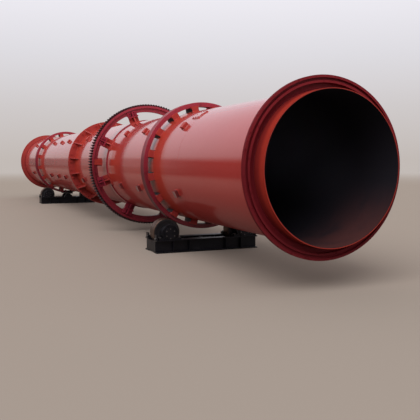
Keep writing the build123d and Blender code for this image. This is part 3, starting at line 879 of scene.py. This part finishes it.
# %% [markdown]
# ## Welds round the feet
# Bosses, pads, gussets, bracket feet and the inspection cover are each welded to the shell along
# their whole edge. Drawing every run would take hundreds of paths. A square path is a circle whose
# cosine and sine are pushed out and clipped, so one formula goes round any foot, and the drum's own
# radius bends it to the shell.

# %% Lay the foot beads
FOOT_BEAD = ((-0.2, -0.3), (1.0, -0.3), (0.58, 0.58), (0.0, 1.0), (-0.2, 1.0))
BOSS_ANGLES = np.radians([25.5, 139.8, 205.5, 319.8])
GUSSET_COUNT, GUSSET_PHASE = 16, math.radians(15)
COVER_ANGLE = math.radians(123)


def evenly(count, first):
    """Equal steps round a full turn, counted from a first angle."""
    return first + 2 * np.pi / count * np.arange(count)


def foot_beads(angles, stations, half_width, half_length, leg):
    """Corner beads round the feet of welded pieces.

    A foot's path is its half sizes times 1.41 cosine and 1.41 sine of a turn, both clipped at 1.
    """
    angle, station = (values.reshape(-1, 1, 1) for values in np.meshgrid(angles, stations))
    turn = np.arange(16) * np.pi / 8
    across = np.clip(math.sqrt(2) * np.cos(turn), -1, 1)
    along = np.clip(math.sqrt(2) * np.sin(turn), -1, 1)
    out, rise = leg * np.array(FOOT_BEAD).T[:, :, None]
    return on_drum(shell_radius + rise, angle + across * (half_width + out) / shell_radius,
                   station + along * (half_length + out))


def lengthwise_middles(node):
    """Middles of equal blocks in a CAD node: its faces' places along Y, taken in pairs."""
    corners = np.empty(3 * len(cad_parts[node].data.vertices))
    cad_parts[node].data.vertices.foreach_get("co", corners)
    faces = np.unique(np.round(corners.reshape(-1, 3)[:, Y], 3))
    return faces.reshape(-1, 2).mean(axis=1)


boss_stations = lengthwise_middles("shell_lugs")
gusset_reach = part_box("rear_joint_gussets")[1].y
gusset_middle = (joint_face + gusset_reach) / 2
gusset_half = (gusset_reach - joint_face) / 2
foot_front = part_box("gear_brackets")[0].y
foot_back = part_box("gear_brackets")[1].y
# Name, slot, finish, angles, stations, half width, half length and leg of the bead
WELDED_FEET = (
    ("boss_welds", "shell_paint", shell_gloss, BOSS_ANGLES, boss_stations, 0.050, 0.055, 0.008),
    ("pad_welds", "bracket_paint", pad_paint, evenly(PAD_COUNT, PAD_PHASE),
     list(tyre_stations.values()), 0.060, 0.140, 0.009),
    ("gusset_welds", "bracket_paint", fitting_orange, evenly(GUSSET_COUNT, GUSSET_PHASE),
     [-gusset_middle, gusset_middle], 0.008, gusset_half, 0.008),
    ("bracket_welds", "bracket_paint", bracket_paint, evenly(BRACKET_COUNT, BRACKET_PHASE),
     [(foot_front + foot_back) / 2], 0.125, (foot_back - foot_front) / 2, 0.009),
    ("cover_weld", "shell_paint", shell_gloss, [COVER_ANGLE], [middle("inspection_cover", Y)],
     0.095, 0.105, 0.007),
)
for name, slot, finish, *feet in WELDED_FEET:
    piece(name, foot_beads(*feet), "drum", finish, wrap_rows=True)

# %% [markdown]
# ## Bolts and nuts
# Hexagon bolts hold the joint, the gear brackets, the splice and the bearings. A bolt could be a
# six-sided cylinder, but a real one sits on a washer and has a turned chamfer. Here a short list of
# rows gives radius, height and how hexagonal the row is, and every bolt is turned a little
# differently, because no fitter lines them up.

# %% Turn bolts from rows
HEAD_ROWS = ((0, -0.05, 0), (1.25, -0.05, 0), (1.25, 0.18, 0), (1.0, 0.18, 1), (1.0, 0.80, 1),
             (0.86, 0.92, 0), (0, 0.92, 0))
NUT_ROWS = ((0, -0.05, 0), (1.25, -0.05, 0), (1.25, 0.18, 0), (1.0, 0.18, 1), (1.0, 0.94, 1),
            (0.86, 1.05, 0), (0.55, 1.05, 0), (0.55, 1.42, 0), (0.46, 1.52, 0), (0, 1.52, 0))
NIPPLE_ROWS = ((0, -0.3, 0), (1.0, -0.3, 1), (1.0, 0.6, 1), (0.6, 0.7, 0), (0.55, 1.3, 0),
               (0.85, 1.6, 0), (0.5, 2.1, 0), (0, 2.1, 0))
GOLDEN_ANGLE = math.pi * (3 - math.sqrt(5))


def fasteners(rows, size, places, axes):
    """Rows of (radius, height, hexagon share) turned round an axis at each place.

    A hexagon's radius is cosine 30 over the cosine of the angle to the middle of its flat.
    """
    places, axes = np.broadcast_arrays(np.reshape(places, (-1, 3)), axes)
    radius, height, hexagon = size * np.array(rows, float).T
    turn = np.arange(12) * np.pi / 6
    six_sided = math.cos(math.pi / 6) / np.cos(turn % (np.pi / 3) - np.pi / 6)
    round_or_six = 1 + hexagon[:, None] / size * (six_sided - 1)
    upright = np.abs(axes[:, 2:]) > 0.9
    side = np.cross(axes, np.where(upright, [[0.0, 1.0, 0.0]], [[0.0, 0.0, 1.0]]))
    side = side / np.linalg.norm(side, axis=1, keepdims=True)
    other = np.cross(axes, side)
    angle = turn + GOLDEN_ANGLE * np.arange(len(places))[:, None]
    across = np.cos(angle)[..., None] * side[:, None] + np.sin(angle)[..., None] * other[:, None]
    outline = (radius[:, None] * round_or_six)[None, :, :, None] * across[:, None]
    return places[:, None, None] + outline + height[None, :, None, None] * axes[:, None, None]


def bolt_piece(name, points, body, finish):
    """A piece of many fasteners, with crisp edges."""
    piece(name, points, body, finish, sharp_angle=28)


JOINT_BOLT, JOINT_BOLT_RADIUS, JOINT_BOLT_COUNT = 0.0208, 1.005, 32
joint_bolt_angles = evenly(JOINT_BOLT_COUNT, GUSSET_PHASE + math.pi / JOINT_BOLT_COUNT)
for name, rows, facing in (("joint_bolts", HEAD_ROWS, -1), ("joint_nuts", NUT_ROWS, 1)):
    joint_places = on_drum(JOINT_BOLT_RADIUS, joint_bolt_angles, facing * joint_face)
    bolt_piece(name, fasteners(rows, JOINT_BOLT, joint_places, (0, facing, 0)),
               "drum", fitting_orange)

# %% [markdown]
# ## Bolts of the gear and the cover
# Four bolts hold each bracket to its gear tab, four pull each splice together, and eight small ones
# hold the inspection cover. They could be set by eye, but the tab, the lug and the cover have known
# middles, so each bolt is a step aside from a middle. All are painted over with their neighbours.

# %% Bolt the gear and the cover
BRACKET_BOLT, BRACKET_PLATE = 0.0165, 0.028
BRACKET_BOLT_RADII, BRACKET_BOLT_ASIDES = (1.073, 1.116), (-0.048, 0.048)
SPLICE_BOLT, SPLICE_FACE = 0.0200, 0.055
SPLICE_BOLT_RADII, SPLICE_BOLT_STEPS = (1.014, 1.060), (-0.045, 0.045)
COVER_BOLT, COVER_RISE = 0.0085, 0.0143
COVER_ASIDE, COVER_ALONG = 0.078, 0.088
bracket_angle, bolt_radius, bolt_aside = np.meshgrid(
    evenly(BRACKET_COUNT, BRACKET_PHASE), BRACKET_BOLT_RADII, BRACKET_BOLT_ASIDES)
web_half = foot_back - gear_station
bolt_piece("bracket_bolts",
           fasteners(HEAD_ROWS, BRACKET_BOLT,
                     on_drum(bolt_radius, bracket_angle, foot_back - BRACKET_PLATE, bolt_aside),
                     (0, -1, 0)),
           "drum", bracket_paint)
bolt_piece("bracket_nuts",
           fasteners(NUT_ROWS, BRACKET_BOLT,
                     on_drum(bolt_radius, bracket_angle, gear_station - web_half, bolt_aside),
                     (0, 1, 0)),
           "drum", gear_crimson)

splice_angle, bolt_radius, bolt_step = np.meshgrid(
    evenly(2, SPLICE_ANGLE), SPLICE_BOLT_RADII, SPLICE_BOLT_STEPS)
tangent = on_drum(0.0, splice_angle.ravel(), 0.0, 1.0) - on_drum(0.0, 0.0, 0.0)
for name, rows, side in (("splice_bolts", HEAD_ROWS, 1), ("splice_nuts", NUT_ROWS, -1)):
    bolt_piece(name, fasteners(rows, SPLICE_BOLT,
                               on_drum(bolt_radius, splice_angle, gear_station + bolt_step,
                                       side * SPLICE_FACE), side * tangent),
               "drum", fitting_orange)

cover_top = shell_radius + COVER_RISE
cover_step = np.array([(-1, -1), (-1, 0), (-1, 1), (0, -1), (0, 1), (1, -1), (1, 0), (1, 1)])
cover_places = on_drum(math.sqrt(cover_top**2 - COVER_ASIDE**2), COVER_ANGLE,
                       middle("inspection_cover", Y) + COVER_ALONG * cover_step[:, 1],
                       COVER_ASIDE * cover_step[:, 0])
cover_axis = on_drum(1.0, COVER_ANGLE, 0.0) - on_drum(0.0, 0.0, 0.0)
bolt_piece("cover_bolts", fasteners(HEAD_ROWS, COVER_BOLT, cover_places, cover_axis),
           "drum", shell_gloss)

# %% [markdown]
# ## Fasteners of the frames
# Each bearing housing stands on four bolts, its closed cover has six, and a grease nipple sits on
# top. The adjusting screws have an outer head and a lock nut, and a nut closes each thrust pin.
# They could share the housings' black, but they were fitted after painting, so they are bare
# plated steel. They ride on the base, which never moves.

# %% Bolt the frames
HOUSING_STEP, HOUSING_CROWN = 0.215, 0.135
FOOT_BOLT, FOOT_TOP, FOOT_ACROSS, FOOT_ALONG = 0.0155, 0.244, 0.1625, 0.030
BEARING_BOLT, BEARING_FACE, BEARING_BOLT_RADIUS = 0.0095, 0.286, 0.076
NIPPLE, SCREW, SCREW_HEIGHT, LOCK_STEP, PIN_NUT = 0.0070, 0.0173, 0.227, 0.020, 0.0270
BEARING_BOLT_COUNT = 6
UPWARDS = (0.0, 0.0, 1.0)


def frame_bolts(name, rows, size, places, axes):
    """Bare fasteners that ride on the base."""
    bolt_piece(name, fasteners(rows, size, places, axes), "base", bolt_zinc)


tyre_y, roller_x, housing_side = (grid.ravel() for grid in np.meshgrid(
    list(tyre_stations.values()), (-roller_across, roller_across), (-1.0, 1.0)))
housing_y = tyre_y + HOUSING_STEP * housing_side
one = np.ones_like(tyre_y)
outward = np.stack([0 * one, housing_side, 0 * one], axis=-1)
foot_step = np.array([(-1, -1), (-1, 1), (1, -1), (1, 1)])
foot_places = np.stack(np.broadcast_arrays(
    roller_x[:, None] + FOOT_ACROSS * foot_step[:, 0],
    housing_y[:, None] + FOOT_ALONG * foot_step[:, 1], FOOT_TOP), axis=-1)
frame_bolts("housing_bolts", HEAD_ROWS, FOOT_BOLT, foot_places, UPWARDS)

cover_turn = evenly(BEARING_BOLT_COUNT, math.pi / BEARING_BOLT_COUNT)
cover_places = np.stack(np.broadcast_arrays(
    roller_x[:, None] + BEARING_BOLT_RADIUS * np.cos(cover_turn),
    (tyre_y + BEARING_FACE * housing_side)[:, None],
    roller_height + BEARING_BOLT_RADIUS * np.sin(cover_turn)), axis=-1)
frame_bolts("bearing_cover_bolts", HEAD_ROWS, BEARING_BOLT, cover_places,
            np.repeat(outward, BEARING_BOLT_COUNT, axis=0))

nipple_places = np.stack([roller_x, housing_y, (roller_height + HOUSING_CROWN) * one], axis=-1)
frame_bolts("grease_nipples", NIPPLE_ROWS, NIPPLE, nipple_places, UPWARDS)

side = np.sign(roller_x)
sideways = np.stack([side, 0 * one, 0 * one], axis=-1)
adjuster_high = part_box("front_adjusters")[1].x
for name, reach_x, turn in (("adjuster_heads", adjuster_high, 1),
                            ("adjuster_lock_nuts", adjuster_high - LOCK_STEP, -1)):
    adjuster_places = np.stack([side * reach_x, housing_y, SCREW_HEIGHT * one], axis=-1)
    frame_bolts(name, HEAD_ROWS, SCREW, adjuster_places, turn * sideways)

pin_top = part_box("thrust_pedestals")[1].z
pin_places = [(0.0, tyre_stations["rear"] + turn * thrust_offset, pin_top) for turn in (-1, 1)]
frame_bolts("thrust_pin_nuts", HEAD_ROWS, PIN_NUT, pin_places, UPWARDS)

# %% [markdown]
